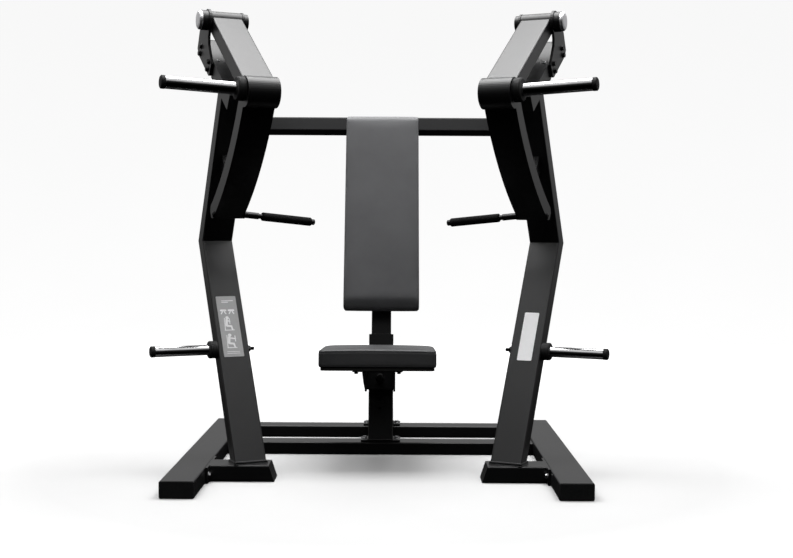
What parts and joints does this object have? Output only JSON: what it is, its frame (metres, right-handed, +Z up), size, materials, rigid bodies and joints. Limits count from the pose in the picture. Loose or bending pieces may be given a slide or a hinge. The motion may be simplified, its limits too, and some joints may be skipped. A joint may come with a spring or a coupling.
{
  "type": "plate-loaded chest press machine",
  "caption": "Plate-loaded chest press: padded seat and leaning backrest between two bent uprights, each with a hinged lever, curved hanging arm, plate horn and handle.",
  "frame": {"origin": "middle of the footprint on the floor, midway between the base rails' ends and the two sides", "axes": "+Z up, -Y towards the front of the machine where the user faces, +X towards the right-hand upright as seen from the front"},
  "size_m": [1.703, 1.41, 1.7405],
  "materials": {
    "powder_coat": "black satin powder coat",
    "chrome": "polished chrome plate",
    "bearing_steel": "ground steel",
    "rubber": "matt black rubber",
    "upholstery": "grained dark grey artificial leather",
    "board": "plywood with a black backing",
    "plastic": "black moulded plastic"
  },
  "bodies": {
    "frame": {"backrest_board": "board", "backrest_pad": "upholstery", "front_cross_tube": "powder_coat", "left_arm_stop_pad": "rubber", "left_base_rail": "powder_coat", "left_crossbar_arm": "powder_coat", "left_front_foot": "powder_coat", "left_head_tube": "powder_coat", "left_lever_bumper": "rubber", "left_pivot_axle": "chrome", "left_pivot_bracket_inner": "powder_coat", "left_pivot_bracket_outer": "powder_coat", "left_rail_front_cap": "rubber", "left_storage_horn": "chrome", "left_storage_horn_cap": "rubber", "left_storage_horn_collar": "rubber", "left_upright": "powder_coat", "lower_post": "powder_coat", "rear_cross_tube": "powder_coat", "rear_crossbar": "powder_coat", "right_arm_stop_pad": "rubber", "right_base_rail": "powder_coat", "right_crossbar_arm": "powder_coat", "right_front_foot": "powder_coat", "right_head_tube": "powder_coat", "right_lever_bumper": "rubber", "right_pivot_axle": "chrome", "right_pivot_bracket_inner": "powder_coat", "right_pivot_bracket_outer": "powder_coat", "right_rail_front_cap": "rubber", "right_storage_horn": "chrome", "right_storage_horn_cap": "rubber", "right_storage_horn_collar": "rubber", "right_upright": "powder_coat", "upper_post": "powder_coat"},
    "left_lever": {"left_curved_arm": "powder_coat", "left_handle_spindle": "powder_coat", "left_lever_beam": "powder_coat", "left_loading_horn": "chrome", "left_loading_horn_cap": "rubber", "left_loading_horn_collar": "rubber", "left_pivot_bearing_inner": "bearing_steel", "left_pivot_bearing_outer": "bearing_steel"},
    "left_grip": {"left_handle_grip": "rubber"},
    "right_lever": {"right_curved_arm": "powder_coat", "right_handle_spindle": "powder_coat", "right_lever_beam": "powder_coat", "right_loading_horn": "chrome", "right_loading_horn_cap": "rubber", "right_loading_horn_collar": "rubber", "right_pivot_bearing_inner": "bearing_steel", "right_pivot_bearing_outer": "bearing_steel"},
    "right_grip": {"right_handle_grip": "rubber"},
    "seat": {"seat_board": "board", "seat_carriage": "powder_coat", "seat_pad": "upholstery", "seat_pin_barrel": "powder_coat"},
    "lock_pin": {"seat_pin": "chrome", "seat_pin_knob": "plastic"}
  },
  "joints": [
    {"name": "left_press", "type": "hinge", "parent": "frame", "child": "left_lever", "pos_m": [-0.59478, -0.09026, 1.698], "axis": [-0.91, -0.4147, 0], "range_deg": [0, 45]},
    {"name": "left_grip_spin", "type": "hinge", "parent": "left_lever", "child": "left_grip", "pos_m": [-0.5189, -0.11063, 0.965], "axis": [0.9058, 0.4128, -0.0958], "continuous": true},
    {"name": "right_press", "type": "hinge", "parent": "frame", "child": "right_lever", "pos_m": [0.59478, -0.09026, 1.698], "axis": [-0.91, 0.4147, 0], "range_deg": [0, 45]},
    {"name": "right_grip_spin", "type": "hinge", "parent": "right_lever", "child": "right_grip", "pos_m": [0.5189, -0.11063, 0.965], "axis": [-0.9058, 0.4128, -0.0958], "continuous": true},
    {"name": "seat_height", "type": "slide", "parent": "frame", "child": "seat", "axis": [0, 0.2079, 0.9781], "range_m": [-0.12, 0.04]},
    {"name": "lock_pin_pull", "type": "slide", "parent": "seat", "child": "lock_pin", "axis": [0, -0.9781, 0.2079], "range_m": [0, 0.01], "stiffness_N_per_m": 900, "springref_m": -0.01}
  ]
}
